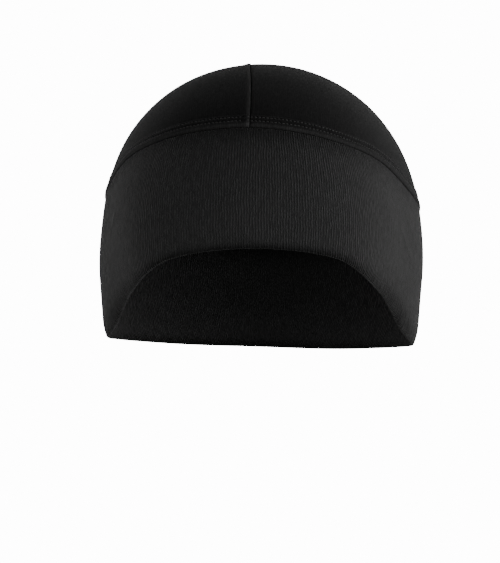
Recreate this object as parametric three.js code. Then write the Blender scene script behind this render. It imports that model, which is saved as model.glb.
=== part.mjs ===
import * as THREE from "three";

// A close-fitting stretch-knit cap in the form that it has when worn: two crown panels joined by a
// front-to-back centre seam, over a wide band that covers forehead, ears and nape.
// Lengths are millimetres and angles are degrees. +Z is up, -Y is the front, +X is the wearer's left.
// The origin is on the inside of the crown, at its top.

// Outside sizes of the worn form. They are measured from the core, the point inside the cap
// that every direction starts from.
const WIDTH = 172;
const FRONT_REACH = 116;
const BACK_REACH = 87;
const DOME_HEIGHT = 88.3;

// Cloth. The band is doubled, and folded along its lower edge.
const CROWN_WALL = 1.6;
const BAND_WALL = 2;
const SEAM_GAP = 0.3;

// The band seam, and the lower edge behind the ears, sit a little lower on the left side than on the
// right. The front of the lower edge is turned a little to the left.
const TILT = 2;
const HEM_TWIST = 1.5;
const HEM_TILT_START = 40;

// Band seam, as depths below the top of the cap.
const SEAM_FRONT_DEPTH = 37.4;
const SEAM_BACK_FALL = 61;

// Lower edge of the band, as depths below the top of the cap.
const HEM_FRONT_DEPTH = 100.4;
const HEM_NAPE_FALL = 54.1;

// The crown's lower strip stands proud over the seam allowances that are turned up beneath it.
const STRIP_WIDTH = 7.2;
const STRIP_FADE = 1.3;
const STRIP_RISE = 0.5;
const STRIP_INSIDE_RISE = 0.5;
const STRIP_EDGE_ROUNDING = 0.5;

// The centre seam runs a little to the right of the middle at the top. Its allowances lie under
// the right panel, whose edge stands proud.
const CENTRE_DRIFT = 4.7;
const RIDGE_WIDTH = 2.6;
const RIDGE_RISE = 0.5;

// Turned-in lower edge and the plain seam that closes the band at the nape.
const HEM_CURL = 3.2;
const HEM_CURL_HEIGHT = 8;
const NAPE_SEAM_WIDTH = 3;
const NAPE_SEAM_DEPTH = 0.5;

// Facets. Rows of fixed width beside the edges take up no more than FIXED_ROWS_LIMIT of the cloth's
// length. CURL_ROWS are shares of HEM_CURL_HEIGHT, and FOLD_ROUNDING is a share of half the band's wall.
const STATIONS = 36;
const CROWN_MIDDLE_ROWS = 8;
const BAND_MIDDLE_ROWS = 5;
const FIXED_ROWS_LIMIT = 0.8;
const SEAM_EDGE_ROW = 1.2;
const CURL_ROWS = [0.35, 0.65, 1];
const FOLD_ROUNDING = 0.3;

// Fall is the angle down from straight up, and turn the angle round from the front.
// side, front and back are shares of the plain ellipse through the named sizes.
const PROFILES = [
  { fall: 0, side: 1, front: 1, back: 1 },
  { fall: 20, side: 1.004, front: 1.002, back: 1 },
  { fall: 40, side: 1.008, front: 1.02, back: 1.005 },
  { fall: 58, side: 1.008, front: 1.036, back: 1.01 },
  { fall: 74, side: 1.012, front: 1.02, back: 1.01 },
  { fall: 90, side: 1.03, front: 1, back: 1 },
  { fall: 108, side: 1.088, front: 0.99, back: 1 },
  { fall: 116, side: 1.13, front: 0.98, back: 0.99 },
  { fall: 125, side: 1.2, front: 0.97, back: 0.98 },
  { fall: 137, side: 1.278, front: 0.96, back: 1 },
];

// Soft swells and flats of the worn form, alike on both sides. height is a share of WIDTH.
const SWELLS = [
  { name: "brow corner", fall: 100, turn: 28, fallSpread: 34, turnSpread: 15, height: 0.026 },
  { name: "temple flat", fall: 98, turn: 68, fallSpread: 34, turnSpread: 26, height: -0.029 },
  { name: "hollow behind the ear", fall: 122, turn: 135, fallSpread: 22, turnSpread: 30, height: -0.012 },
];

// The band's edges round from the front: a seam that falls steadily to the back, and a lower edge
// that is flat over the forehead, goes down in front of the ear and is level round the nape.
// seam is a share of SEAM_BACK_FALL, hem of HEM_NAPE_FALL and curl of HEM_CURL.
const EDGES = [
  { turn: 0, seam: 0, hem: 0, curl: 0.15 },
  { turn: 10, seam: 0.018, hem: 0.02, curl: 0.15 },
  { turn: 18, seam: 0.05, hem: 0.06, curl: 0.18 },
  { turn: 25, seam: 0.09, hem: 0.122, curl: 0.22 },
  { turn: 32, seam: 0.138, hem: 0.232, curl: 0.3 },
  { turn: 40, seam: 0.19, hem: 0.35, curl: 0.45 },
  { turn: 50, seam: 0.262, hem: 0.468, curl: 0.6 },
  { turn: 60, seam: 0.347, hem: 0.605, curl: 0.75 },
  { turn: 70, seam: 0.427, hem: 0.76, curl: 0.75 },
  { turn: 80, seam: 0.505, hem: 0.855, curl: 0.5 },
  { turn: 92, seam: 0.594, hem: 0.912, curl: 0.2 },
  { turn: 106, seam: 0.7, hem: 0.935, curl: 0.15 },
  { turn: 140, seam: 0.9, hem: 0.985, curl: 0.2 },
  { turn: 180, seam: 1, hem: 1, curl: 0.3 },
];

const CROWN_TOP = CROWN_WALL;
const CORE = new THREE.Vector3(0, 0, CROWN_TOP - DOME_HEIGHT);
const HALF_TURN = 180;
const QUARTER_TURN = 90;
const SLOPE_STEP = 0.002;
const SHARE_STEP = 0.01;
const FALL_SEARCH = { from: 1, to: 150, until: 0.0001 };
const radians = THREE.MathUtils.degToRad;
const degrees = THREE.MathUtils.radToDeg;

// A smooth curve through one column of a table, level at its first row.
function curveThrough(rows, key, column, at) {
  const last = rows.length - 1;
  let i = 0;
  while (i < last - 1 && at >= rows[i + 1][key]) {
    i += 1;
  }
  const slope = (row) => {
    const before = rows[Math.max(row - 1, 0)];
    const after = rows[Math.min(row + 1, last)];
    return row === 0 ? 0 : (after[column] - before[column]) / (after[key] - before[key]);
  };
  const span = rows[i + 1][key] - rows[i][key];
  const t = (at - rows[i][key]) / span;
  const start = rows[i][column];
  const rise = rows[i + 1][column] - start;
  const leave = slope(i) * span;
  const arrive = slope(i + 1) * span;
  const bend = (3 * rise - 2 * leave - arrive) * t ** 2 + (leave + arrive - 2 * rise) * t ** 3;
  return start + leave * t + bend;
}

function ellipseRadius(angle, along, across) {
  return 1 / Math.hypot(Math.cos(radians(angle)) / along, Math.sin(radians(angle)) / across);
}

function bell(distance, spread) {
  return Math.exp(-((distance / spread) ** 2));
}

// Distance from the core to the outside of the worn form.
function formRadius(fall, turn) {
  const reach = (sizeAcross, column) =>
    ellipseRadius(fall, DOME_HEIGHT, sizeAcross) * curveThrough(PROFILES, "fall", column, fall);
  const backward = THREE.MathUtils.smoothstep(-Math.cos(radians(turn)), -1, 1);
  const lengthwise = THREE.MathUtils.lerp(reach(FRONT_REACH, "front"), reach(BACK_REACH, "back"), backward);
  let radius = ellipseRadius(turn, lengthwise, reach(WIDTH / 2, "side"));
  for (const swell of SWELLS) {
    const round = bell(Math.abs(turn) - swell.turn, swell.turnSpread);
    radius += swell.height * WIDTH * bell(fall - swell.fall, swell.fallSpread) * round;
  }
  return radius;
}

function directionOf(fall, turn) {
  const out = Math.sin(radians(fall));
  return new THREE.Vector3(
    out * Math.sin(radians(turn)),
    -out * Math.cos(radians(turn)),
    Math.cos(radians(fall)),
  );
}

function pointAlong(direction) {
  const fall = degrees(Math.acos(THREE.MathUtils.clamp(direction.z, -1, 1)));
  const turn = degrees(Math.atan2(direction.x, -direction.y));
  return direction.clone().multiplyScalar(formRadius(fall, turn)).add(CORE);
}

// A point at some height over the outside of the worn form, below it where the height is negative.
function lifted(direction, height) {
  const isLow = Math.abs(direction.z) < Math.SQRT1_2;
  const anyOther = isLow ? new THREE.Vector3(0, 0, 1) : new THREE.Vector3(1, 0, 0);
  const across = new THREE.Vector3().crossVectors(anyOther, direction).normalize();
  const along = new THREE.Vector3().crossVectors(direction, across);
  const slopeTo = (side) => {
    const ahead = pointAlong(direction.clone().addScaledVector(side, SLOPE_STEP).normalize());
    const behind = pointAlong(direction.clone().addScaledVector(side, -SLOPE_STEP).normalize());
    return ahead.sub(behind);
  };
  const normal = slopeTo(across).cross(slopeTo(along)).normalize();
  return pointAlong(direction).addScaledVector(normal, height);
}

function depthAt(fall, turn) {
  return CROWN_TOP - pointAlong(directionOf(fall, turn)).z;
}

// The fall at which the worn form lies at a depth below the top of the cap.
function fallAtDepth(depth, turn) {
  let above = FALL_SEARCH.from;
  let below = FALL_SEARCH.to;
  while (below - above > FALL_SEARCH.until) {
    const middle = (above + below) / 2;
    if (depthAt(middle, turn) < depth) {
      above = middle;
    } else {
      below = middle;
    }
  }
  return above;
}

// The fall of the band seam, which starts at a depth in front and drops to the back.
function seamFall(turn) {
  const drop = SEAM_BACK_FALL * curveThrough(EDGES, "turn", "seam", Math.abs(turn));
  return fallAtDepth(SEAM_FRONT_DEPTH + drop + TILT * Math.sin(radians(turn)), turn);
}

// The fall of the lower edge. The twist fades out at the nape, where the two ends meet.
function hemFall(turn) {
  const twisted = turn - HEM_TWIST * Math.cos(radians(turn / 2));
  const drop = HEM_NAPE_FALL * curveThrough(EDGES, "turn", "hem", Math.abs(twisted));
  const tilt = TILT * THREE.MathUtils.smoothstep(Math.abs(turn), HEM_TILT_START, QUARTER_TURN);
  return fallAtDepth(HEM_FRONT_DEPTH + drop + tilt * Math.sin(radians(turn)), turn);
}

// The angle, seen from the core, that a short length on the form takes up.
function angleOf(length, fall, turn) {
  return degrees(length / formRadius(fall, turn));
}

// Distances from 0 to 1 along a row of cloth: fixed widths beside both edges, and even steps between.
function rowShares(length, nearStart, nearEnd, middleRows) {
  const fixed = nearStart.at(-1) + nearEnd.at(-1);
  const most = FIXED_ROWS_LIMIT * length;
  const squeeze = fixed > most ? most / fixed : 1;
  const first = nearStart.map((distance) => (distance * squeeze) / length);
  const last = nearEnd.map((distance) => 1 - (distance * squeeze) / length).reverse();
  const step = (last[0] - first.at(-1)) / (middleRows + 1);
  const middle = Array.from({ length: middleRows }, (_, i) => first.at(-1) + step * (i + 1));
  return [...first, ...middle, ...last];
}

// Joins closed sections into one skin. Points that several places share are given as one object.
function skinOver(sections, wraps) {
  const numbers = new Map();
  const positions = [];
  const faces = [];
  const numberOf = (point) => {
    if (!numbers.has(point)) {
      numbers.set(point, numbers.size);
      positions.push(point.x, point.y, point.z);
    }
    return numbers.get(point);
  };
  const addFace = (...corners) => {
    const face = corners.map(numberOf);
    if (new Set(face).size === 3) {
      faces.push(...face);
    }
  };
  const spans = wraps ? sections.length : sections.length - 1;
  for (let s = 0; s < spans; s += 1) {
    const here = sections[s];
    const next = sections[(s + 1) % sections.length];
    for (let p = 0; p < here.length; p += 1) {
      const q = (p + 1) % here.length;
      addFace(here[p], here[q], next[p]);
      addFace(here[q], next[q], next[p]);
    }
  }
  const geometry = new THREE.BufferGeometry();
  geometry.setAttribute("position", new THREE.Float32BufferAttribute(positions, 3));
  geometry.setIndex(faces);
  geometry.computeVertexNormals();
  return geometry;
}

// A point of the centre seam. pitch is the angle from straight up, negative to the front.
// aside is a small step away from the seam.
function centreDirection(pitch, frontPitch, backPitch, aside) {
  const end = pitch < 0 ? frontPitch : backPitch;
  const drift = -CENTRE_DRIFT * Math.cos((Math.PI / 2) * (pitch / end)) ** 2;
  const lean = Math.asin((drift + aside) / formRadius(Math.abs(pitch), pitch < 0 ? 0 : HALF_TURN));
  return new THREE.Vector3(
    Math.sin(lean),
    Math.cos(lean) * Math.sin(radians(pitch)),
    Math.cos(lean) * Math.cos(radians(pitch)),
  );
}

function turnedTowards(start, end, share) {
  const angle = start.angleTo(end);
  const weight = (part) => Math.sin(part * angle) / Math.sin(angle);
  return start.clone().multiplyScalar(weight(1 - share)).addScaledVector(end, weight(share)).normalize();
}

// How far the whole line from a seam to a far point gets away from the seam, at the rate at which it
// leaves it. The seam is given as directions by share.
function lengthSquareTo(seam, share, far) {
  const here = seam(share);
  const alongSeam = seam(share + SHARE_STEP).sub(seam(share - SHARE_STEP));
  const slant = Math.sin(alongSeam.angleTo(far.clone().sub(here)));
  return slant * here.angleTo(far) * pointAlong(here).distanceTo(CORE);
}

// 1 on the double strip along the band seam, and 0 on the plain crown above it.
function stripShare(fromBand) {
  return 1 - THREE.MathUtils.smoothstep(fromBand, STRIP_WIDTH, STRIP_WIDTH + STRIP_FADE);
}

// How far the crown stands proud of the plain form.
function crownRelief(fromCentre, fromBand, isRight) {
  const roundedEdge = 1 - bell(fromBand, STRIP_EDGE_ROUNDING) / 2;
  const strip = STRIP_RISE * roundedEdge * stripShare(fromBand);
  const ridgeShare = 1 - THREE.MathUtils.smoothstep(fromCentre, RIDGE_WIDTH / 2, RIDGE_WIDTH);
  return isRight ? strip + RIDGE_RISE * ridgeShare : strip;
}

// The underside of the crown, which is thicker over the turned-up seam allowances.
function crownInside(fromBand) {
  return -CROWN_WALL - STRIP_INSIDE_RISE * stripShare(fromBand);
}

// One crown panel. side is 1 for the left panel and -1 for the right one.
function crownPanel(side) {
  const inset = SEAM_GAP / 2;
  const bandEdge = (turn) => {
    const fall = seamFall(turn);
    return directionOf(fall - angleOf(inset, fall, turn), turn);
  };
  const cornerTurn = (turn) => {
    const fall = seamFall(turn);
    return angleOf(inset, fall, turn) / Math.sin(radians(fall));
  };
  const frontTurn = cornerTurn(0);
  const backTurn = HALF_TURN - cornerTurn(HALF_TURN);
  const frontPitch = -degrees(Math.acos(bandEdge(side * frontTurn).z));
  const backPitch = degrees(Math.acos(bandEdge(side * backTurn).z));
  const lowAt = (share) => bandEdge(side * THREE.MathUtils.lerp(frontTurn, backTurn, share));
  const highAt = (share) => {
    const pitch = THREE.MathUtils.lerp(frontPitch, backPitch, share);
    return centreDirection(pitch, frontPitch, backPitch, side * inset);
  };
  const nearCentre = [0, RIDGE_WIDTH / 2, RIDGE_WIDTH];
  const nearBand = [0, 2 * STRIP_EDGE_ROUNDING, STRIP_WIDTH, STRIP_WIDTH + STRIP_FADE];
  const sections = [];
  for (let i = 0; i <= STATIONS; i += 1) {
    const share = i / STATIONS;
    const low = lowAt(share);
    if (i === 0 || i === STATIONS) {
      const outside = lifted(low, crownRelief(0, 0, side < 0));
      const inside = lifted(low, crownInside(0));
      const rows = nearCentre.length + CROWN_MIDDLE_ROWS + nearBand.length;
      sections.push([...Array(rows).fill(outside), ...Array(rows).fill(inside)]);
    } else {
      const high = highAt(share);
      const centreLength = lengthSquareTo(highAt, share, low);
      const bandLength = lengthSquareTo(lowAt, share, high);
      const shares = rowShares(
        1,
        nearCentre.map((distance) => distance / centreLength),
        nearBand.map((distance) => distance / bandLength),
        CROWN_MIDDLE_ROWS,
      );
      const outside = shares.map((row) => {
        const relief = crownRelief(row * centreLength, (1 - row) * bandLength, side < 0);
        return lifted(turnedTowards(high, low, row), relief);
      });
      const inside = shares.map((row) =>
        lifted(turnedTowards(high, low, row), crownInside((1 - row) * bandLength)),
      );
      sections.push([...outside, ...inside.reverse()]);
    }
  }
  return skinOver(side > 0 ? sections : sections.reverse(), false);
}

// The band, a ring of doubled cloth from the band seam down to its folded edge.
function bandRing() {
  const fold = BAND_WALL / 2;
  const nearSeam = [0, SEAM_EDGE_ROW];
  const nearHem = [fold, ...CURL_ROWS.map((row) => row * HEM_CURL_HEIGHT)];
  const step = HALF_TURN / STATIONS;
  const turns = Array.from({ length: 2 * STATIONS }, (_, i) => step * i - HALF_TURN);
  const seamTurn = angleOf(NAPE_SEAM_WIDTH / 2, QUARTER_TURN, HALF_TURN);
  turns.splice(1, 0, seamTurn - HALF_TURN);
  turns.push(HALF_TURN - seamTurn);
  const sections = turns.map((turn) => {
    const seam = seamFall(turn);
    const top = seam + angleOf(SEAM_GAP / 2, seam, turn);
    const bottom = hemFall(turn);
    const length = radians(bottom - top) * formRadius((top + bottom) / 2, turn);
    const curl = HEM_CURL * curveThrough(EDGES, "turn", "curl", Math.abs(turn));
    const groove = turn === -HALF_TURN ? NAPE_SEAM_DEPTH : 0;
    const at = (share, height) => {
      const fromHem = (1 - share) * length;
      const turnedIn = curl * (1 - Math.min(fromHem / HEM_CURL_HEIGHT, 1)) ** 2;
      return lifted(directionOf(THREE.MathUtils.lerp(top, bottom, share), turn), height - turnedIn);
    };
    const shares = rowShares(length, nearSeam, nearHem, BAND_MIDDLE_ROWS);
    const outside = shares.map((share) => at(share, -groove));
    const inside = shares.map((share) => at(share, -BAND_WALL)).reverse();
    const rounding = FOLD_ROUNDING * fold;
    const nearFold = 1 - rounding / length;
    const foldPoints = [at(nearFold, -rounding), at(1, -fold), at(nearFold, rounding - BAND_WALL)];
    return [...outside, ...foldPoints, ...inside];
  });
  return skinOver(sections, true);
}

const crownCloth = new THREE.MeshStandardMaterial({ color: 0x16161a, roughness: 0.85, metalness: 0 });
const bandCloth = new THREE.MeshStandardMaterial({ color: 0x1b1b1f, roughness: 0.9, metalness: 0 });

function piece(name, geometry, material) {
  const mesh = new THREE.Mesh(geometry, material);
  mesh.name = name;
  return mesh;
}

const cap = new THREE.Group();
cap.name = "helmet_liner_cap";
cap.add(piece("crown_left", crownPanel(1), crownCloth));
cap.add(piece("crown_right", crownPanel(-1), crownCloth));
cap.add(piece("band", bandRing(), bandCloth));

export default cap;
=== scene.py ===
# A close-fitting stretch-knit cap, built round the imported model: cloth, seams, stitching and stage.
# The form is worked out in millimetres and degrees and turned into metres where meshes are made.
# +Z is up, -Y is the front and +X the wearer's left. The origin is inside the crown, at its top.
# A point of the cap is named by its fall, the angle down from the top as seen from the core of the dome,
# and its turn, the angle from the front towards the wearer's left.

import math

import bpy
import numpy as np
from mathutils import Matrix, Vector


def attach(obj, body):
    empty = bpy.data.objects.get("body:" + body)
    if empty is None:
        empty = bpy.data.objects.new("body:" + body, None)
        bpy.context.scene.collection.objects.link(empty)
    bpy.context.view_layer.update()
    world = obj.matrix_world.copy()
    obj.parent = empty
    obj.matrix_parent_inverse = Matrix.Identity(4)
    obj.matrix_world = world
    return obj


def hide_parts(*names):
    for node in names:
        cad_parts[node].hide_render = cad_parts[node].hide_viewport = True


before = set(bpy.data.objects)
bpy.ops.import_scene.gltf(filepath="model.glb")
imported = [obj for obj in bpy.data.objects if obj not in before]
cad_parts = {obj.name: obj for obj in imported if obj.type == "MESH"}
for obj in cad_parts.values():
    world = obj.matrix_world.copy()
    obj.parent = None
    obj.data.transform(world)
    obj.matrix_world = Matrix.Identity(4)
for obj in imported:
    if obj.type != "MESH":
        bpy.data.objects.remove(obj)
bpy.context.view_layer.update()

MM = 0.001


def table(names, rows):
    """Named columns from rows of numbers."""
    return dict(zip(names.split(), np.array(rows, float).T))


# Worn form. These sizes and tables are the same as in the part's source.
WIDTH = 172
FRONT_REACH = 116
BACK_REACH = 87
DOME_HEIGHT = 88.3
CROWN_WALL = 1.6
BAND_WALL = 2
SEAM_GAP = 0.3
TILT = 2
HEM_TWIST = 1.5
HEM_TILT_START = 40
SEAM_FRONT_DEPTH = 37.4
SEAM_BACK_FALL = 61
HEM_FRONT_DEPTH = 100.4
HEM_NAPE_FALL = 54.1
STRIP_WIDTH = 7.2
STRIP_FADE = 1.3
STRIP_RISE = 0.5
CENTRE_DRIFT = 4.7
RIDGE_WIDTH = 2.6
RIDGE_RISE = 0.5
HEM_CURL = 3.2
HEM_CURL_HEIGHT = 8

# side, front and back are shares of the plain ellipse through the sizes.
PROFILES = table("fall side front back", [
    (0, 1, 1, 1),
    (20, 1.004, 1.002, 1),
    (40, 1.008, 1.02, 1.005),
    (58, 1.008, 1.036, 1.01),
    (74, 1.012, 1.02, 1.01),
    (90, 1.03, 1, 1),
    (108, 1.088, 0.99, 1),
    (116, 1.13, 0.98, 0.99),
    (125, 1.2, 0.97, 0.98),
    (137, 1.278, 0.96, 1),
])

# Brow corner, temple flat and hollow behind the ear. height is a share of WIDTH.
SWELLS = table("fall turn fall_spread turn_spread height", [
    (100, 28, 34, 15, 0.026),
    (98, 68, 34, 26, -0.029),
    (122, 135, 22, 30, -0.012),
])

# seam is a share of SEAM_BACK_FALL, hem of HEM_NAPE_FALL and curl of HEM_CURL.
EDGES = table("turn seam hem curl", [
    (0, 0, 0, 0.15),
    (10, 0.018, 0.02, 0.15),
    (18, 0.05, 0.06, 0.18),
    (25, 0.09, 0.122, 0.22),
    (32, 0.138, 0.232, 0.3),
    (40, 0.19, 0.35, 0.45),
    (50, 0.262, 0.468, 0.6),
    (60, 0.347, 0.605, 0.75),
    (70, 0.427, 0.76, 0.75),
    (80, 0.505, 0.855, 0.5),
    (92, 0.594, 0.912, 0.2),
    (106, 0.7, 0.935, 0.15),
    (140, 0.9, 0.985, 0.2),
    (180, 1, 1, 0.3),
])

# Detail that the part's source leaves out
# Each lip, where cloth rounds off beside a seam, has a width and a depth.
CROWN_LIP = (1.5, 0.9)
BAND_LIP = (0.8, 0.8)
CENTRE_LIPS = {1: (0.9, 0.5), -1: (1.2, 0.5)}
NAPE_LIP = (0.8, 0.8)
BAND_PUFF = 0.35
BAND_PUFF_SPREAD = 1.1
RIDGE_PUFF = 0.3
RIDGE_PUFF_SPREAD = 1.2
STITCH_ROWS = (3.8, 6.5)
STITCH_PITCH = 2.1
STITCH_LENGTH = 1.6
THREAD_RADIUS = 0.24
THREAD_RISE = 0.12
STITCH_PLUNGE = 0.45
STITCH_FLATNESS = 4
GROOVE_DEPTH = 0.42
GROOVE_SPREAD = 0.55
HOLE_SHARE = 0.4
ALLOWANCE_WIDTH = 6.4
CENTRE_ALLOWANCE_WIDTH = 5.2
ALLOWANCE_THICKNESS = 0.8
ALLOWANCE_ROUNDING = 0.3
ALLOWANCE_STEP = 3
CENTRE_OVERLAP = 0.8
BAND_OVERLAP = 0.3
UNDER_CROWN = 0.1
CLOSING_DEPTH = 0.9
CLOSING_CLEARANCE = 0.01
# Painted light in the tone attribute: painted highlight along the seam ridges and painted shade in the
# stitch grooves
HIGHLIGHT_FROM_BAND = 1.0
HIGHLIGHT_FROM_CENTRE = 0.5
HIGHLIGHT_SPREAD = 1.0
CENTRE_HIGHLIGHT_SPREAD = 1.8
BAND_RIDGE_HIGHLIGHT = 1.9
CENTRE_RIDGE_HIGHLIGHT = 2.4
GROOVE_SHADE = 0.6
# Painted shadow under the band seam and along the hem: how dark it is and how wide
BAND_TOP_SHADOW = 0.6
BAND_TOP_SHADOW_SPREAD = 8
HEM_SHADOW = 0.95
HEM_SHADOW_SPREAD = 1.5
HEM_CURL_SHADOW_SPREAD = 9

# Slow waves of soft cloth: their size and height on the crown and on the band, and how each one runs.
CROWN_SWAY = (21, 0.25)
BAND_SWAY = (24, 0.35)
WAVES = [
    # share of x, of y and of z, and start
    (1, 0, 1.3, 0.4),
    (-0.8, 1.7, 0, 2.1),
    (0, -1.9, 1.1, 5.2),
    (2.3, -0.7, 1.9, 0),
]

# Faint slanting folds beside the ears. Each runs from one turn and height over the hem to another.
FOLD_RISE = 0.4
FOLD_SPREAD = 2.2
FOLDS = table("turn up turn_after up_after share", [
    (57, 42, 75, 32, 1),
    (45, 46, 53, 38, 0.6),
    (66, 56, 82, 44, 0.7),
    (-50, 50, -64, 38, 0.8),
    (-62, 58, -78, 46, 0.6),
])

# Where falls are measured from, the falls that a search starts with, and steps for measuring slopes
CORE = np.array([0, 0, CROWN_WALL - DOME_HEIGHT])
HALF_TURN = 180
QUARTER_TURN = 90
FIRST_FALL = 1.0
LAST_FALL = 150.0
HALVINGS = 30
SLOPE_STEP = 0.002
SHARE_STEP = 0.002


def smoothstep(value, low, high):
    share = np.clip((value - low) / (high - low), 0, 1)
    return share * share * (3 - 2 * share)


def bell(distance, spread):
    return np.exp(-((distance / spread) ** 2))


def curve_through(rows, key, column, at):
    """A smooth curve through one column of a table, level at its first row."""
    keys, values = rows[key], rows[column]
    last = len(keys) - 1
    before = np.maximum(np.arange(last + 1) - 1, 0)
    after = np.minimum(np.arange(last + 1) + 1, last)
    slopes = (values[after] - values[before]) / (keys[after] - keys[before])
    slopes[0] = 0
    i = np.clip(np.searchsorted(keys, at, side="right") - 1, 0, last - 1)
    span = keys[i + 1] - keys[i]
    t = (at - keys[i]) / span
    rise = values[i + 1] - values[i]
    leave = slopes[i] * span
    arrive = slopes[i + 1] * span
    bend = (3 * rise - 2 * leave - arrive) * t**2 + (leave + arrive - 2 * rise) * t**3
    return values[i] + leave * t + bend


def ellipse_radius(angle, along, across):
    return 1 / np.hypot(np.cos(np.radians(angle)) / along, np.sin(np.radians(angle)) / across)


def form_radius(fall, turn):
    """Distance from the core to the outside of the worn form."""
    def reach(size_across, column):
        plain = ellipse_radius(fall, DOME_HEIGHT, size_across)
        return plain * curve_through(PROFILES, "fall", column, fall)

    backward = smoothstep(-np.cos(np.radians(turn)), -1, 1)
    front, back = reach(FRONT_REACH, "front"), reach(BACK_REACH, "back")
    radius = ellipse_radius(turn, front + (back - front) * backward, reach(WIDTH / 2, "side"))
    for i in range(len(SWELLS["fall"])):
        swell = {name: column[i] for name, column in SWELLS.items()}
        down = bell(fall - swell["fall"], swell["fall_spread"])
        around = bell(np.abs(turn) - swell["turn"], swell["turn_spread"])
        radius = radius + swell["height"] * WIDTH * down * around
    return radius


def direction_of(fall, turn):
    fall, turn = np.broadcast_arrays(np.radians(fall), np.radians(turn))
    out = np.sin(fall)
    return np.stack([out * np.sin(turn), -out * np.cos(turn), np.cos(fall)], -1)


def fall_of(direction):
    return np.degrees(np.arccos(np.clip(direction[..., 2], -1, 1)))


def turn_of(direction):
    return np.degrees(np.arctan2(direction[..., 0], -direction[..., 1]))


def unit(vectors):
    return vectors / np.linalg.norm(vectors, axis=-1, keepdims=True)


def point_along(direction):
    return direction * form_radius(fall_of(direction), turn_of(direction))[..., None] + CORE


def normal_at(direction):
    """The outward normal of the worn form."""
    low = np.abs(direction[..., 2:]) < math.sqrt(0.5)
    other = np.where(low, np.array([0.0, 0, 1]), np.array([1.0, 0, 0]))
    across = unit(np.cross(other, direction))
    along = np.cross(direction, across)

    def slope_to(side):
        ahead = point_along(unit(direction + side * SLOPE_STEP))
        return ahead - point_along(unit(direction - side * SLOPE_STEP))

    return unit(np.cross(slope_to(across), slope_to(along)))


def fall_at_depth(depth, turn):
    """Where the form is a depth below the top of the crown, found by halving."""
    above = np.full(np.shape(turn), FIRST_FALL)
    below = np.full(np.shape(turn), LAST_FALL)
    for _ in range(HALVINGS):
        middle = (above + below) / 2
        higher = CROWN_WALL - point_along(direction_of(middle, turn))[..., 2] < depth
        above = np.where(higher, middle, above)
        below = np.where(higher, below, middle)
    return above


def seam_fall(turn):
    """The band seam."""
    drop = SEAM_BACK_FALL * curve_through(EDGES, "turn", "seam", np.abs(turn))
    return fall_at_depth(SEAM_FRONT_DEPTH + drop + TILT * np.sin(np.radians(turn)), turn)


def hem_fall(turn):
    """The lower edge, whose front is turned a little to the left."""
    twisted = turn - HEM_TWIST * np.cos(np.radians(turn / 2))
    drop = HEM_NAPE_FALL * curve_through(EDGES, "turn", "hem", np.abs(twisted))
    tilt = TILT * smoothstep(np.abs(turn), HEM_TILT_START, QUARTER_TURN)
    return fall_at_depth(HEM_FRONT_DEPTH + drop + tilt * np.sin(np.radians(turn)), turn)


def angle_of(length, fall, turn):
    return np.degrees(length / form_radius(fall, turn))


def path_lengths(points):
    """Distance travelled along a row of points."""
    steps = np.linalg.norm(np.diff(points, axis=0), axis=-1)
    return np.concatenate([[0], np.cumsum(steps)])


# The band seam, measured once: length along it and slant at every turn.
SEAM_SAMPLES = 1441
SEAM_TURNS = np.linspace(-HALF_TURN, HALF_TURN, SEAM_SAMPLES)
SEAM_POINTS = point_along(direction_of(seam_fall(SEAM_TURNS), SEAM_TURNS))
SEAM_LENGTHS = path_lengths(SEAM_POINTS)
SEAM_LENGTH = SEAM_LENGTHS[-1]
SEAM_TANGENTS = unit(np.gradient(SEAM_POINTS, axis=0))


def along_seam(turn):
    return np.interp(turn, SEAM_TURNS, SEAM_LENGTHS)


def above_seam(distance, turn):
    """The direction of the point at a distance square to the band seam, above it."""
    level = np.sqrt(1 - np.interp(turn, SEAM_TURNS, SEAM_TANGENTS[:, 2]) ** 2)
    fall = seam_fall(turn)
    return direction_of(fall - angle_of(distance / level, fall, turn), turn)


def lip(distance, size):
    """How far an edge of cloth rounds off beside a seam."""
    width, depth = size
    left = np.clip(1 - distance / width, 0, 1)
    return depth * (np.sqrt(1 - left**2) - 1)


def sway(points, waves_of):
    """Slight unevenness of soft cloth: a few slow waves that never line up."""
    size, height = waves_of
    x, y, z = (points[..., i] / size for i in range(3))
    waves = sum(np.sin(a * x + b * y + c * z + start) for a, b, c, start in WAVES)
    return height * waves / len(WAVES)


def stitch_grooves(from_band, travelled):
    """The topstitching pulls the cloth down in two grooves, deepest at the needle holes."""
    pull = 1 - HOLE_SHARE + HOLE_SHARE * np.cos(2 * np.pi * travelled / STITCH_PITCH)
    rows = sum(bell(from_band - row, GROOVE_SPREAD) for row in STITCH_ROWS)
    return GROOVE_DEPTH * pull * rows


def crown_relief(from_centre, from_band, travelled, side):
    strip = STRIP_RISE * (1 - smoothstep(from_band, STRIP_WIDTH, STRIP_WIDTH + STRIP_FADE))
    puff = BAND_PUFF * bell(from_band - STITCH_ROWS[0] / 2, BAND_PUFF_SPREAD)
    relief = strip + puff + lip(from_band, CROWN_LIP) + lip(from_centre, CENTRE_LIPS[side])
    relief = relief - stitch_grooves(from_band, travelled)
    if side < 0:
        ridge = RIDGE_RISE * (1 - smoothstep(from_centre, RIDGE_WIDTH / 2, RIDGE_WIDTH))
        relief = relief + ridge + RIDGE_PUFF * bell(from_centre - RIDGE_WIDTH, RIDGE_PUFF_SPREAD)
    return relief


def crown_painted_light(from_centre, from_band, side):
    """Painted highlight on the rounded cloth over the seam allowances, and painted shade down in the
    stitch grooves.
    """
    highlight_over_band = bell(from_band - HIGHLIGHT_FROM_BAND, HIGHLIGHT_SPREAD)
    holes = sum(bell(from_band - row, GROOVE_SPREAD) for row in STITCH_ROWS)
    tone = 1 + BAND_RIDGE_HIGHLIGHT * highlight_over_band - GROOVE_SHADE * holes
    if side < 0:
        tone = tone + CENTRE_RIDGE_HIGHLIGHT * bell(from_centre - HIGHLIGHT_FROM_CENTRE, CENTRE_HIGHLIGHT_SPREAD)
    return tone


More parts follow.
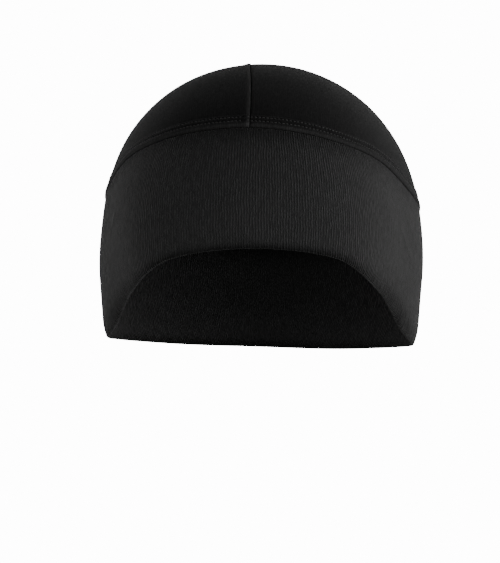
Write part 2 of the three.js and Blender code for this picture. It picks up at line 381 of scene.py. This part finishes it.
def add_mesh(name, points, faces, material, knit=None, tone=None, ends=()):
    """A smooth mesh from points in millimetres.

    knit is each point's place in the cloth and tone a factor on its colour, which carries painted
    highlight and shade. ends are faces that close it.
    """
    mesh = bpy.data.meshes.new(name)
    mesh.from_pydata((points * MM).tolist(), [], faces.tolist() + list(ends))
    mesh.validate()
    mesh.shade_smooth()
    if knit is not None:
        attribute = mesh.attributes.new("knit", "FLOAT_VECTOR", "POINT")
        attribute.data.foreach_set("vector", np.asarray(knit, np.float32).ravel())
        attribute = mesh.attributes.new("tone", "FLOAT", "POINT")
        attribute.data.foreach_set("value", np.asarray(tone, np.float32).ravel())
    mesh.materials.append(material)
    thing = bpy.data.objects.new(name, mesh)
    bpy.context.scene.collection.objects.link(thing)
    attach(thing, "root")
    return thing


def skin_faces(stations, around, wraps):
    """Quads over closed sections that are numbered one after another."""
    last = stations if wraps else stations - 1
    s, p = np.meshgrid(np.arange(last), np.arange(around), indexing="ij")
    after = (s + 1) % stations
    q = (p + 1) % around
    corners = [s * around + p, s * around + q, after * around + q, after * around + p]
    return np.stack([corner.ravel() for corner in corners], -1)


NEAR_ROWS_SHARE = 0.8


def row_shares(length, near_start, near_end, middle_rows):
    """Distances from 0 to 1 along each station: fixed rows beside both edges, even rows between."""
    fixed = near_start[:, -1] + near_end[:, -1]
    squeeze = np.minimum(1, NEAR_ROWS_SHARE * length / fixed)[:, None]
    first = near_start * squeeze / length[:, None]
    last = (1 - near_end * squeeze / length[:, None])[:, ::-1]
    share = np.arange(1, middle_rows + 1) / (middle_rows + 1)
    middle = first[:, -1:] + (last[:, :1] - first[:, -1:]) * share
    return np.concatenate([first, middle, last], 1)


def centre_direction(pitch, front_pitch, back_pitch, aside):
    """A point of the centre seam. pitch is negative to the front; aside is a step off the seam."""
    end = np.where(pitch < 0, front_pitch, back_pitch)
    drift = -CENTRE_DRIFT * np.cos(np.pi / 2 * pitch / end) ** 2
    lean = np.arcsin((drift + aside) / form_radius(np.abs(pitch), np.where(pitch < 0, 0, HALF_TURN)))
    pitch = np.radians(pitch)
    return np.stack([np.sin(lean), np.cos(lean) * np.sin(pitch), np.cos(lean) * np.cos(pitch)], -1)


def turned_towards(start, end, share):
    """Points between two directions, on the great circle through both."""
    angle = np.arccos(np.clip((start * end).sum(-1), -1, 1))[:, None, None]
    share = share[..., None]
    first = np.sin((1 - share) * angle) / np.sin(angle) * start[:, None]
    return unit(first + np.sin(share * angle) / np.sin(angle) * end[:, None])


class CrownSide:
    """The edges of one crown panel, from the front corner to the back one."""

    def __init__(self, side):
        self.side = side
        front = self.corner_turn(0)
        back = self.corner_turn(HALF_TURN)
        self.turns = (front, HALF_TURN - back)
        self.front_pitch = -fall_of(self.low(0))
        self.back_pitch = fall_of(self.low(1))

    def corner_turn(self, turn):
        fall = seam_fall(turn)
        return angle_of(SEAM_GAP / 2, fall, turn) / np.sin(np.radians(fall))

    def low(self, share):
        first, last = self.turns
        turn = self.side * (first + (last - first) * share)
        fall = seam_fall(turn)
        return direction_of(fall - angle_of(SEAM_GAP / 2, fall, turn), turn)

    def high(self, share, aside=SEAM_GAP / 2):
        pitch = self.front_pitch + (self.back_pitch - self.front_pitch) * share
        return centre_direction(pitch, self.front_pitch, self.back_pitch, self.side * aside)


def length_square_to(seam, share, far):
    """How far the whole line from a seam to a far point gets away from it, at the rate it leaves it."""
    here = seam(share)
    along = unit(seam(share + SHARE_STEP) - seam(share - SHARE_STEP))
    slant = np.linalg.norm(np.cross(along, unit(far - here)), axis=-1)
    angle = np.arccos(np.clip((here * far).sum(-1), -1, 1))
    return slant * angle * form_radius(fall_of(here), turn_of(here))


CROWN_STATIONS = 480
END_SHARE = 0.25
CROWN_MIDDLE_ROWS = 46
CROWN_INSIDE_ROWS = 26
ROWS_NEAR_CENTRE = np.array([0, 0.04, 0.1, 0.2, 0.35, 0.55, 0.8, 1.1, 1.4, 1.75, 2.1, 2.6, 3.2, 4])
ROWS_NEAR_BAND = np.concatenate([[0, 0.04, 0.12, 0.25, 0.42, 0.64], np.arange(0.9, 8.8, 0.25)])


def crown_panel(name, side, material):
    edges = CrownSide(side)
    inset = END_SHARE / CROWN_STATIONS
    share = np.linspace(inset, 1 - inset, CROWN_STATIONS + 1)
    high, low = edges.high(share), edges.low(share)
    centre_length = length_square_to(edges.high, share, low)[:, None]
    band_length = length_square_to(edges.low, share, high)[:, None]
    rows = row_shares(
        np.ones(len(share)),
        ROWS_NEAR_CENTRE / centre_length,
        ROWS_NEAR_BAND / band_length,
        CROWN_MIDDLE_ROWS,
    )
    directions = turned_towards(high, low, rows)
    from_centre = rows * centre_length
    from_band = (1 - rows) * band_length
    travelled = along_seam(turn_of(directions))
    form = point_along(directions)
    relief = crown_relief(from_centre, from_band, travelled, side) + sway(form, CROWN_SWAY)
    outside = form + normal_at(directions) * relief[..., None]

    picked = np.linspace(rows.shape[1] - 1, 0, CROWN_INSIDE_ROWS).round().astype(int)
    inner = form[:, picked] + normal_at(directions[:, picked]) * (
        sway(form[:, picked], CROWN_SWAY) - CROWN_WALL
    )[..., None]
    points = np.concatenate([outside, inner], 1)

    lengthwise = path_lengths(point_along(edges.high(share)))
    across = np.concatenate([from_centre, from_centre[:, picked]], 1)
    knit = np.stack([across * side, np.broadcast_to(lengthwise[:, None], across.shape), 0 * across], -1)
    around = points.shape[1]
    tone = crown_painted_light(from_centre, from_band, side)
    tone = np.concatenate([tone, np.ones(inner.shape[:2])], 1)
    faces = skin_faces(len(share), around, False)
    if side < 0:
        faces = faces[:, ::-1]
    first = np.arange(around)
    ends = [first.tolist(), ((len(share) - 1) * around + first[::-1]).tolist()]
    return add_mesh(name, points.reshape(-1, 3), faces, material, knit.reshape(-1, 3), tone, ends)


def fold_relief(turn, from_hem):
    """The slanting folds in the band, highest at the middle of each."""
    per_degree = np.radians(WIDTH / 2)
    relief = 0
    for i in range(len(FOLDS["turn"])):
        fold = {name: column[i] for name, column in FOLDS.items()}
        run = (fold["turn_after"] - fold["turn"]) * per_degree
        drop = fold["up_after"] - fold["up"]
        across = (turn - fold["turn"]) * per_degree
        along = across * run + (from_hem - fold["up"]) * drop
        share = np.clip(along / (run**2 + drop**2), 0, 1)
        away = np.hypot(across - share * run, from_hem - fold["up"] - share * drop)
        relief = relief + fold["share"] * np.sin(np.pi * share) * bell(away, FOLD_SPREAD)
    return FOLD_RISE * relief


BAND_STATIONS = 700
BAND_MIDDLE_ROWS = 40
BAND_INSIDE_ROWS = 34
FOLD_ROWS = 10
ROWS_NEAR_SEAM = np.array([0, 0.04, 0.1, 0.2, 0.34, 0.52, 0.75, 1.05, 1.5, 2.1, 3])
ROWS_NEAR_NAPE = np.array([0, 0.05, 0.12, 0.24, 0.4, 0.6, 0.85, 1.2, 1.7])
ROWS_NEAR_HEM = np.arange(17) * 0.65


def band_cloth(name, material):
    fold = BAND_WALL / 2
    beside_nape = np.degrees(ROWS_NEAR_NAPE / BACK_REACH)
    middle = np.linspace(-HALF_TURN, HALF_TURN, BAND_STATIONS + 1)[1:-1]
    middle = middle[np.abs(middle) < HALF_TURN - beside_nape[-1]]
    turn = np.concatenate([beside_nape - HALF_TURN, middle, (HALF_TURN - beside_nape)[::-1]])
    seam = seam_fall(turn)
    top = seam + angle_of(SEAM_GAP / 2, seam, turn)
    bottom = hem_fall(turn)
    length = np.radians(bottom - top) * form_radius((top + bottom) / 2, turn)
    near_hem = fold + ROWS_NEAR_HEM
    ones = np.ones((len(turn), 1))
    rows = row_shares(length, ROWS_NEAR_SEAM * ones, near_hem * ones, BAND_MIDDLE_ROWS)
    rounding = np.linspace(0, np.pi, FOLD_ROWS + 2)[1:-1]
    inside_rows = rows[:, np.linspace(rows.shape[1] - 1, 0, BAND_INSIDE_ROWS).round().astype(int)]
    fold_rows = 1 - (fold - fold * np.sin(rounding)) / length[:, None]
    shares = np.concatenate([rows, fold_rows, inside_rows], 1)

    from_hem = (1 - shares) * length[:, None]
    from_seam = shares * length[:, None]
    curl = curve_through(EDGES, "turn", "curl", np.abs(turn))[:, None]
    turned_in = HEM_CURL * curl * (1 - np.clip(from_hem / HEM_CURL_HEIGHT, 0, 1)) ** 2
    from_nape = (np.radians(HALF_TURN - np.abs(turn)) * BACK_REACH)[:, None]
    closing = lip(from_nape, NAPE_LIP)

    count = rows.shape[1]
    outer_height = lip(from_seam[:, :count], BAND_LIP) + closing
    fold_height = -fold + fold * np.cos(rounding) + closing
    inner_height = np.full(inside_rows.shape, -float(BAND_WALL))
    height = np.concatenate([outer_height, fold_height, inner_height], 1)
    fall = top[:, None] + (bottom - top)[:, None] * shares
    directions = direction_of(fall, turn[:, None])
    form = point_along(directions)
    height = height - turned_in + sway(form, BAND_SWAY) + fold_relief(turn[:, None], from_hem)
    points = form + normal_at(directions) * height[..., None]

    travelled = np.broadcast_to(along_seam(turn)[:, None], shares.shape)
    knit = np.stack([travelled, from_seam, 0 * from_seam], -1)
    # Painted shadow: darker just under the band seam and along the hem, widest where the hem turns in by
    # the ears
    tone = 1 - BAND_TOP_SHADOW * bell(from_seam, BAND_TOP_SHADOW_SPREAD)
    tone = tone - HEM_SHADOW * bell(from_hem, HEM_SHADOW_SPREAD + HEM_CURL_SHADOW_SPREAD * curl)
    faces = skin_faces(len(turn), points.shape[1], False)
    return add_mesh(name, points.reshape(-1, 3), faces, material, knit.reshape(-1, 3), tone)


def ribbon(centre, across, normal, width, thickness, rounding):
    """A flat strip of cloth along a row of points. across runs from its edge over its width."""
    outline = [
        (0, 0), (width, 0), (width + rounding, -thickness / 2), (width, -thickness), (0, -thickness),
    ]
    return np.stack([centre + across * a + normal * h for a, h in outline], 1)


THREAD_SIDES = 6
THREAD_TIP = 0.01
THREAD_BLUNTNESS = 8
THREAD_STEPS = 7


def tubes(centres, normals, radius):
    """Round tubes over rows of points, closed by drawing both ends together."""
    tangents = unit(np.gradient(centres, axis=1))
    sideways = unit(np.cross(tangents, normals))
    upward = np.cross(sideways, tangents)
    angles = np.arange(THREAD_SIDES) * 2 * np.pi / THREAD_SIDES
    rings = (
        upward[:, :, None] * np.cos(angles)[None, None, :, None]
        + sideways[:, :, None] * np.sin(angles)[None, None, :, None]
    )
    count = centres.shape[1]
    taper = radius * np.sqrt(1 - np.linspace(-1, 1, count) ** THREAD_BLUNTNESS) + THREAD_TIP
    points = centres[:, :, None] + rings * taper[None, :, None, None]
    one = skin_faces(count, THREAD_SIDES, False)
    offsets = np.arange(len(centres))[:, None, None] * count * THREAD_SIDES
    return points.reshape(-1, 3), (one[None] + offsets).reshape(-1, 4)


def topstitching(name, material):
    """Two rows of stitches on the crown, side by side above the band seam. Each dips in at both ends."""
    per_row = int(SEAM_LENGTH / STITCH_PITCH)
    starts = np.arange(per_row) * SEAM_LENGTH / per_row
    steps = np.linspace(0, 1, THREAD_STEPS)
    centres, normals = [], []
    for row in STITCH_ROWS:
        travelled = starts[:, None] + steps[None] * STITCH_LENGTH + (STITCH_PITCH - STITCH_LENGTH) / 2
        turn = np.interp(travelled, SEAM_LENGTHS, SEAM_TURNS)
        directions = above_seam(row + SEAM_GAP / 2, turn)
        form = point_along(directions)
        on_ridge = np.where(form[..., 0] < 0, -form[..., 0], RIDGE_WIDTH)
        ridge = RIDGE_RISE * (1 - smoothstep(on_ridge, RIDGE_WIDTH / 2, RIDGE_WIDTH))
        bottom = STRIP_RISE + ridge - GROOVE_DEPTH + sway(form, CROWN_SWAY)
        plunge = STITCH_PLUNGE * np.abs(2 * steps - 1) ** STITCH_FLATNESS
        normal = normal_at(directions)
        centres.append(form + normal * (bottom + THREAD_RISE + THREAD_RADIUS / 2 - plunge)[..., None])
        normals.append(normal)
    points, faces = tubes(np.concatenate(centres), np.concatenate(normals), THREAD_RADIUS)
    return add_mesh(name, points, faces, material)


RING_STATIONS = 360
CENTRE_STATIONS = 241


def closing_strip(centre, across, normal):
    """Pinched cloth and thread, low in the gap of a seam, so that no light comes through."""
    start = centre - normal * CLOSING_DEPTH - across * (SEAM_GAP / 2 - CLOSING_CLEARANCE)
    width = SEAM_GAP - 2 * CLOSING_CLEARANCE
    return ribbon(start, across, normal, width, CROWN_WALL + UNDER_CROWN - CLOSING_DEPTH, 0)


def seam_allowances(name, material):
    """The turned edges inside, under the crown and its right half, and a strip in the gap of each seam."""
    turn = np.linspace(-HALF_TURN, HALF_TURN, RING_STATIONS + 1)[:-1]
    edge = above_seam(0.0, turn)
    normal = normal_at(edge)
    centre = point_along(edge)
    across = unit(point_along(above_seam(1.0, turn)) - centre)
    over_centre = np.clip(
        smoothstep(centre[:, 0], -CENTRE_ALLOWANCE_WIDTH - ALLOWANCE_STEP, -CENTRE_ALLOWANCE_WIDTH)
        - smoothstep(centre[:, 0], 0, ALLOWANCE_STEP), 0, 1,
    )
    depth = CROWN_WALL + UNDER_CROWN + ALLOWANCE_THICKNESS * over_centre
    start = centre - normal * depth[:, None] - across * (SEAM_GAP / 2 + BAND_OVERLAP)
    ring = ribbon(start, across, normal, ALLOWANCE_WIDTH, ALLOWANCE_THICKNESS, ALLOWANCE_ROUNDING)
    ring_strip = closing_strip(centre, across, normal)

    right = CrownSide(-1)
    share = np.linspace(0, 1, CENTRE_STATIONS)
    edge = right.high(share, 0)
    normal = normal_at(edge)
    centre = point_along(edge)
    across = unit(point_along(right.high(share, 1)) - centre)
    start = centre - normal * (CROWN_WALL + UNDER_CROWN / 2) - across * CENTRE_OVERLAP
    middle = ribbon(
        start, across, normal, CENTRE_ALLOWANCE_WIDTH, ALLOWANCE_THICKNESS, ALLOWANCE_ROUNDING,
    )
    middle_strip = closing_strip(centre, across, normal)

    points, faces, ends = [], [], []
    count = 0
    for sections, wraps in ((ring, True), (ring_strip, True), (middle, False), (middle_strip, False)):
        stations, sides = sections.shape[:2]
        points.append(sections.reshape(-1, 3))
        faces.append(skin_faces(stations, sides, wraps) + count)
        if not wraps:
            first = count + np.arange(sides)
            ends.append(first.tolist())
            ends.append((first[::-1] + (stations - 1) * sides).tolist())
        count += stations * sides
    points = np.concatenate(points)
    return add_mesh(name, points, np.concatenate(faces), material, points, np.ones(count), ends)


class Nodes:
    """Short names for building a node tree."""

    def __init__(self, tree):
        self.tree = tree
        tree.nodes.clear()

    def add(self, kind, inputs=None, **settings):
        node = self.tree.nodes.new(kind)
        for key, value in settings.items():
            setattr(node, key, value)
        for key, value in (inputs or {}).items():
            if isinstance(value, bpy.types.NodeSocket):
                self.tree.links.new(value, node.inputs[key])
            else:
                node.inputs[key].default_value = value
        return node

    def math(self, operation, *values, clamp=False):
        inputs = dict(enumerate(values))
        return self.add("ShaderNodeMath", inputs, operation=operation, use_clamp=clamp).outputs[0]

    def noise(self, place, scale, detail):
        inputs = {"Vector": place, "Scale": scale, "Detail": detail}
        return self.add("ShaderNodeTexNoise", inputs).outputs["Fac"]

    def shades(self, factor, dark, light):
        mix = self.add("ShaderNodeMix", {"Factor": factor}, data_type="RGBA")
        mix.inputs["A"].default_value = dark
        mix.inputs["B"].default_value = light
        return mix.outputs["Result"]


def grey(value):
    return (value, value, value, 1)


def new_material(name):
    material = bpy.data.materials.new(name)
    material.use_nodes = True
    return material, Nodes(material.node_tree)


# Lengths are millimetres in the cloth, and noise scales are cells to a millimetre.
# STREAK_LIMITS are the lowest and highest noise, then the strengths that they give a rib.
RIB_WANDER = 1.5
WANDER_SCALE = 0.11
STREAK_STRETCH = (0.85, 0.2, 1)
STREAK_LIMITS = {1: 0.36, 2: 0.62, 3: 0.1, 4: 1.0}
STITCH_SLANT = 1.4
STITCH_HEIGHT = 0.9
STITCH_BUMP = 0.018
FUZZ_SCALE = 2.6
FUZZ_BUMP = 0.09
PATCH_SCALE = 0.05
PATCH_TONE = 0.25
RIB_SHADE = 0.7
BASE_TONE = 0.17
DARK_SHARE = 0.45
LIGHT_SHARE = 1.5


def knit_material(name, tone, rib_period, rib_depth, specular, sheen):
    """Matt black jersey: upright ribs of uneven strength over small chevron stitches."""
    material, nodes = new_material(name)
    place = nodes.add("ShaderNodeAttribute", attribute_name="knit").outputs["Vector"]
    split = nodes.add("ShaderNodeSeparateXYZ", {0: place})
    across, along = split.outputs["X"], split.outputs["Y"]

    wander = nodes.math("MULTIPLY", nodes.noise(place, WANDER_SCALE, detail=2), RIB_WANDER)
    shifted = nodes.math("ADD", across, wander)
    phase = nodes.math("MULTIPLY", shifted, 2 * math.pi / rib_period)
    rib = nodes.math("MULTIPLY_ADD", nodes.math("SINE", phase), 0.5, 0.5)
    stretched = nodes.add("ShaderNodeMapping", {"Vector": place, "Scale": STREAK_STRETCH})
    streak = nodes.noise(stretched.outputs[0], scale=1, detail=3)
    strength = nodes.add("ShaderNodeMapRange", {0: streak, **STREAK_LIMITS})
    uneven_rib = nodes.math("MULTIPLY", rib, strength.outputs[0])

    half = nodes.math("PINGPONG", shifted, rib_period / 4)
    slanted = nodes.math("ADD", along, nodes.math("MULTIPLY", half, STITCH_SLANT))
    stitch = nodes.math("SINE", nodes.math("MULTIPLY", slanted, 2 * math.pi / STITCH_HEIGHT))
    height = nodes.math("MULTIPLY", uneven_rib, rib_depth)
    height = nodes.math("MULTIPLY_ADD", stitch, STITCH_BUMP, height)
    fuzz = nodes.noise(place, FUZZ_SCALE, detail=3)
    height = nodes.math("MULTIPLY_ADD", fuzz, FUZZ_BUMP, height)
    bump = nodes.add("ShaderNodeBump", {"Height": height, "Strength": 1.0, "Distance": MM})

    # Painted shade: the colour is darker down between the ribs, following the rib bump; the slow patches
    # are the yarn's own uneven tone
    lightness = nodes.math("MULTIPLY_ADD", uneven_rib, RIB_SHADE, BASE_TONE)
    patches = nodes.noise(place, PATCH_SCALE, detail=2)
    lightness = nodes.math("MULTIPLY_ADD", patches, PATCH_TONE, lightness, clamp=True)
    colour = nodes.shades(lightness, grey(DARK_SHARE * tone), grey(LIGHT_SHARE * tone))
    # The tone attribute scales the colour with painted highlight on seam ridges and painted shade in
    # grooves, under the seam and at the hem
    painted_highlight_and_shade = nodes.add("ShaderNodeAttribute", attribute_name="tone").outputs["Fac"]
    colour = nodes.add("ShaderNodeVectorMath", {0: colour, "Scale": painted_highlight_and_shade}, operation="SCALE")
    shader = nodes.add("ShaderNodeBsdfPrincipled", {
        "Base Color": colour.outputs[0],
        "Normal": bump.outputs[0],
        "Roughness": 0.85,
        "Specular IOR Level": specular,
        "Sheen Weight": sheen,
        "Sheen Roughness": 0.45,
        "Sheen Tint": grey(1),
    })
    nodes.add("ShaderNodeOutputMaterial", {"Surface": shader.outputs[0]})
    return material


# Cells to a metre, and millimetres
TWIST_SCALE = 2500
TWIST_BUMP = 0.1
THREAD_DARK_SHARE = 0.5
THREAD_LIGHT_SHARE = 1.6


def thread_material(name, tone):
    """Twisted thread, a little glossier than the cloth."""
    material, nodes = new_material(name)
    place = nodes.add("ShaderNodeTexCoord").outputs["Object"]
    twist = nodes.noise(place, TWIST_SCALE, detail=2)
    bump = nodes.add("ShaderNodeBump", {"Height": twist, "Strength": 0.6, "Distance": TWIST_BUMP * MM})
    shades = nodes.shades(twist, grey(THREAD_DARK_SHARE * tone), grey(THREAD_LIGHT_SHARE * tone))
    shader = nodes.add("ShaderNodeBsdfPrincipled", {
        "Base Color": shades,
        "Normal": bump.outputs[0],
        "Roughness": 0.55,
        "Specular IOR Level": 0.3,
    })
    nodes.add("ShaderNodeOutputMaterial", {"Surface": shader.outputs[0]})
    return material


crown_knit = knit_material(
    "crown_knit", tone=0.0051, rib_period=1.1, rib_depth=0.06, specular=0.07, sheen=0.036,
)
band_knit = knit_material(
    "band_knit", tone=0.0165, rib_period=1.25, rib_depth=0.55, specular=0.12, sheen=0.075,
)
stitch_thread = thread_material("stitch_thread", tone=0.021)

for node, side in (("crown_left", 1), ("crown_right", -1)):
    panel = crown_panel(node + "_cloth", side, crown_knit)
    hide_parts(node)
band = band_cloth("band_cloth", band_knit)
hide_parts("band")
stitches = topstitching("topstitching", stitch_thread)
allowances = seam_allowances("seam_allowances", crown_knit)


# Stage
FLOOR_DEPTH = 275
FLOOR_SIZE = 30000
BACKGROUND_RADIANCE = 14
FILL_RADIANCE = 0.05


def floor_material():
    """As white as the background, so that no horizon shows, and clear when seen from below."""
    material, nodes = new_material("floor_white")
    glow = nodes.add("ShaderNodeEmission", {"Color": grey(1), "Strength": BACKGROUND_RADIANCE})
    clear = nodes.add("ShaderNodeBsdfTransparent")
    below = nodes.add("ShaderNodeNewGeometry").outputs["Backfacing"]
    mix = nodes.add("ShaderNodeMixShader", {0: below, 1: glow.outputs[0], 2: clear.outputs[0]})
    nodes.add("ShaderNodeOutputMaterial", {"Surface": mix.outputs[0]})
    return material


def add_floor():
    half = FLOOR_SIZE / 2 * MM
    z = -FLOOR_DEPTH * MM
    mesh = bpy.data.meshes.new("floor")
    corners = [(-half, -half, z), (half, -half, z), (half, half, z), (-half, half, z)]
    mesh.from_pydata(corners, [], [(0, 1, 2, 3)])
    mesh.materials.append(floor_material())
    floor = bpy.data.objects.new("floor", mesh)
    floor.visible_diffuse = False
    floor.visible_glossy = False
    floor.visible_shadow = False
    bpy.context.scene.collection.objects.link(floor)


def add_world():
    """White to the camera, and a faint even fill on the cap."""
    world = bpy.data.worlds.new("studio")
    world.use_nodes = True
    nodes = Nodes(world.node_tree)
    white = nodes.add("ShaderNodeBackground", {"Color": grey(1), "Strength": BACKGROUND_RADIANCE})
    fill = nodes.add("ShaderNodeBackground", {"Color": grey(1), "Strength": FILL_RADIANCE})
    seen = nodes.add("ShaderNodeLightPath").outputs["Is Camera Ray"]
    mix = nodes.add("ShaderNodeMixShader", {0: seen, 1: fill.outputs[0], 2: white.outputs[0]})
    nodes.add("ShaderNodeOutputWorld", {"Surface": mix.outputs[0]})
    bpy.context.scene.world = world


def aim(thing, target):
    thing.rotation_euler = (Vector(target) - thing.location).to_track_quat("-Z", "Y").to_euler()


# Soft panels round the cap, in metres. The strongest stand in front on the camera's right, and two light
# the back. Some reach below the floor, which neither stops light nor gives any.
PANEL_DISTANCE = 1.6
PANEL_WIDTH = 1.8
PANEL_HEIGHT = 0.95
PANELS_AIM = (0, 0, -0.08)
PANELS = [
    # name, azimuth, elevation, radiance
    ("front_low", 0, -17, 1.5),
    ("front_right_low", 60, -17, 2.9),
    ("right_low", 120, -17, 1.8),
    ("left_back_low", -120, -17, 1.6),
    ("left_low", -60, -17, 1.3),
    ("front_right", 60, 15, 3.2),
    ("right", 120, 15, 0.5),
    ("left_back", -120, 15, 0.6),
    ("left", -60, 15, 0.25),
    ("back", 180, 5, 1.8),
    ("high_back", 180, 40, 0.3),
]


def add_panel(name, around, upward, radiance):
    light = bpy.data.lights.new(name, "AREA")
    light.shape = "RECTANGLE"
    light.size = PANEL_WIDTH
    light.size_y = PANEL_HEIGHT
    light.energy = math.pi * PANEL_WIDTH * PANEL_HEIGHT * radiance
    panel = bpy.data.objects.new(name, light)
    around, upward = math.radians(around), math.radians(upward)
    level = PANEL_DISTANCE * math.cos(upward)
    height = PANEL_DISTANCE * math.sin(upward)
    panel.location = (level * math.sin(around), -level * math.cos(around), height)
    panel.visible_camera = False
    bpy.context.scene.collection.objects.link(panel)
    aim(panel, PANELS_AIM)


add_floor()
add_world()
for row in PANELS:
    add_panel(*row)

# Camera, at the photograph's viewing angle
CAMERA_AZIMUTH = 3.4
CAMERA_DISTANCE = 2200
CAMERA_TARGET = (-4.7, -16.3, -115.4)
CAMERA_LENS = 262.9

camera_data = bpy.data.cameras.new("camera")
camera_data.lens = CAMERA_LENS
camera = bpy.data.objects.new("camera", camera_data)
azimuth = math.radians(CAMERA_AZIMUTH)
target = Vector(CAMERA_TARGET) * MM
camera.location = target + Vector((math.sin(azimuth), -math.cos(azimuth), 0)) * CAMERA_DISTANCE * MM
bpy.context.scene.collection.objects.link(camera)
aim(camera, target)
bpy.context.scene.camera = camera
